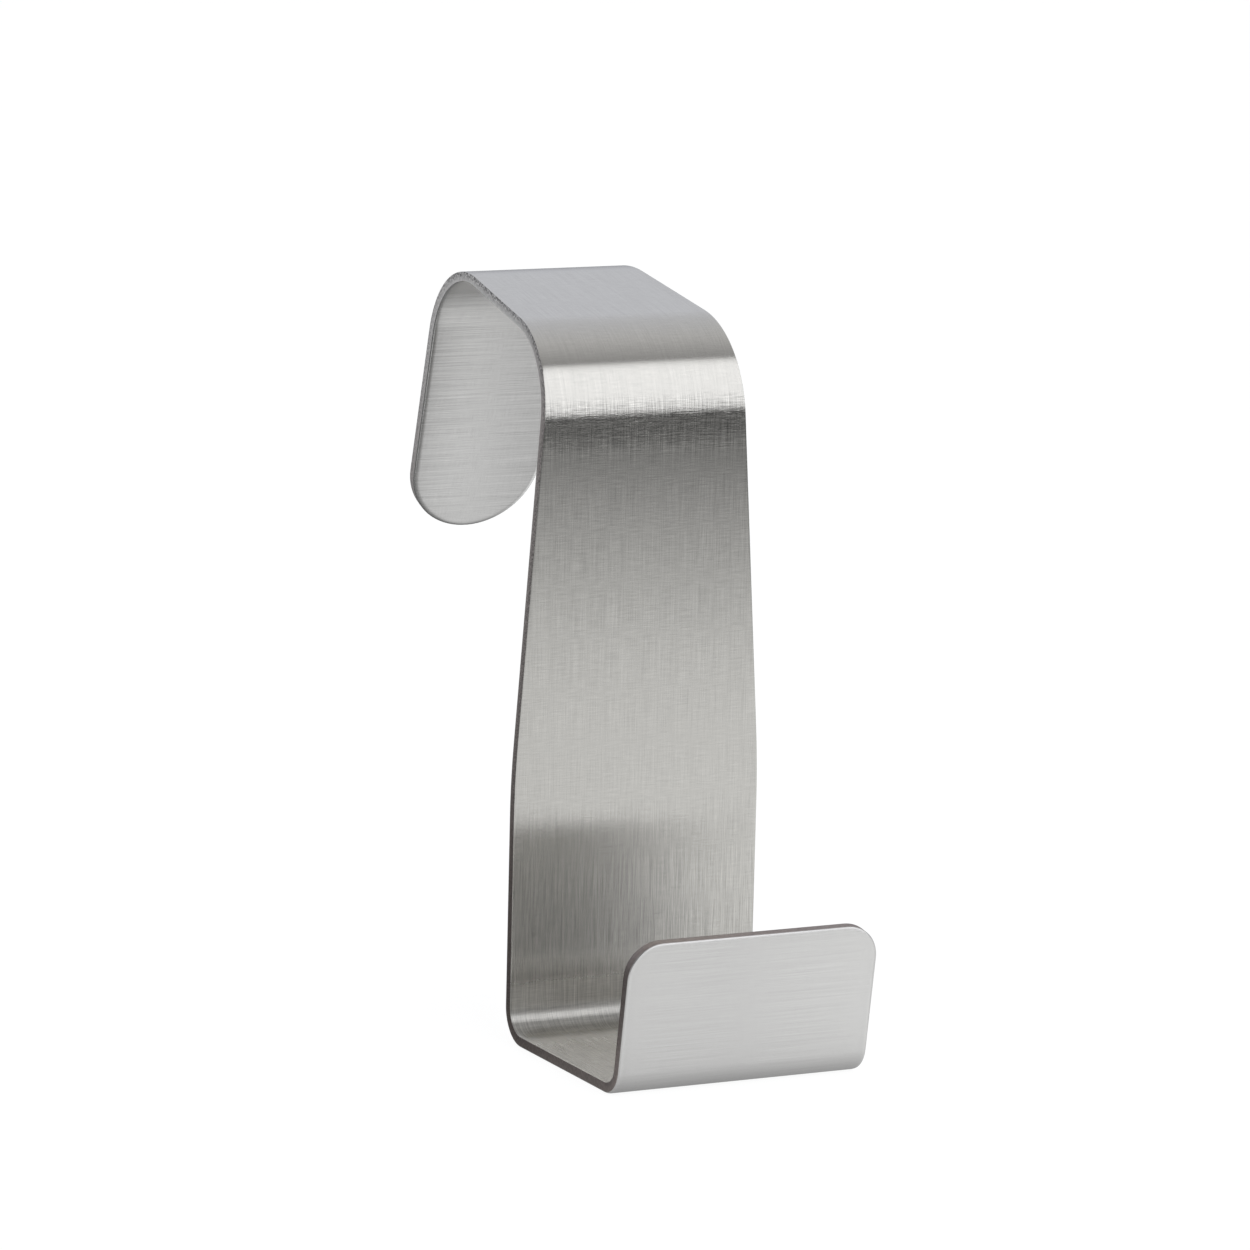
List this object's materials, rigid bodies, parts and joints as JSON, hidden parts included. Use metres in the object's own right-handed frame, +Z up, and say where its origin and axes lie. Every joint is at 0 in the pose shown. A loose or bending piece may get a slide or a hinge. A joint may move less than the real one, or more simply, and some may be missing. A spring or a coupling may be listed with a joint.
{
  "type": "over door hook",
  "caption": "Strip of brushed sheet steel folded into a hook that hangs over the top of a door and carries things on an upturned J at the front.",
  "frame": {"origin": "middle of the plate's back face, at the top end of its flat, where the door's top front edge comes", "axes": "+X across the strip, +Y out of the plate's back into the door, +Z up"},
  "size_m": [0.03, 0.0765, 0.0822],
  "materials": {
    "brushed_sheet": "brushed, with sheared grey edges"
  },
  "bodies": {
    "root": {"hook": "brushed_sheet"}
  },
  "joints": []
}
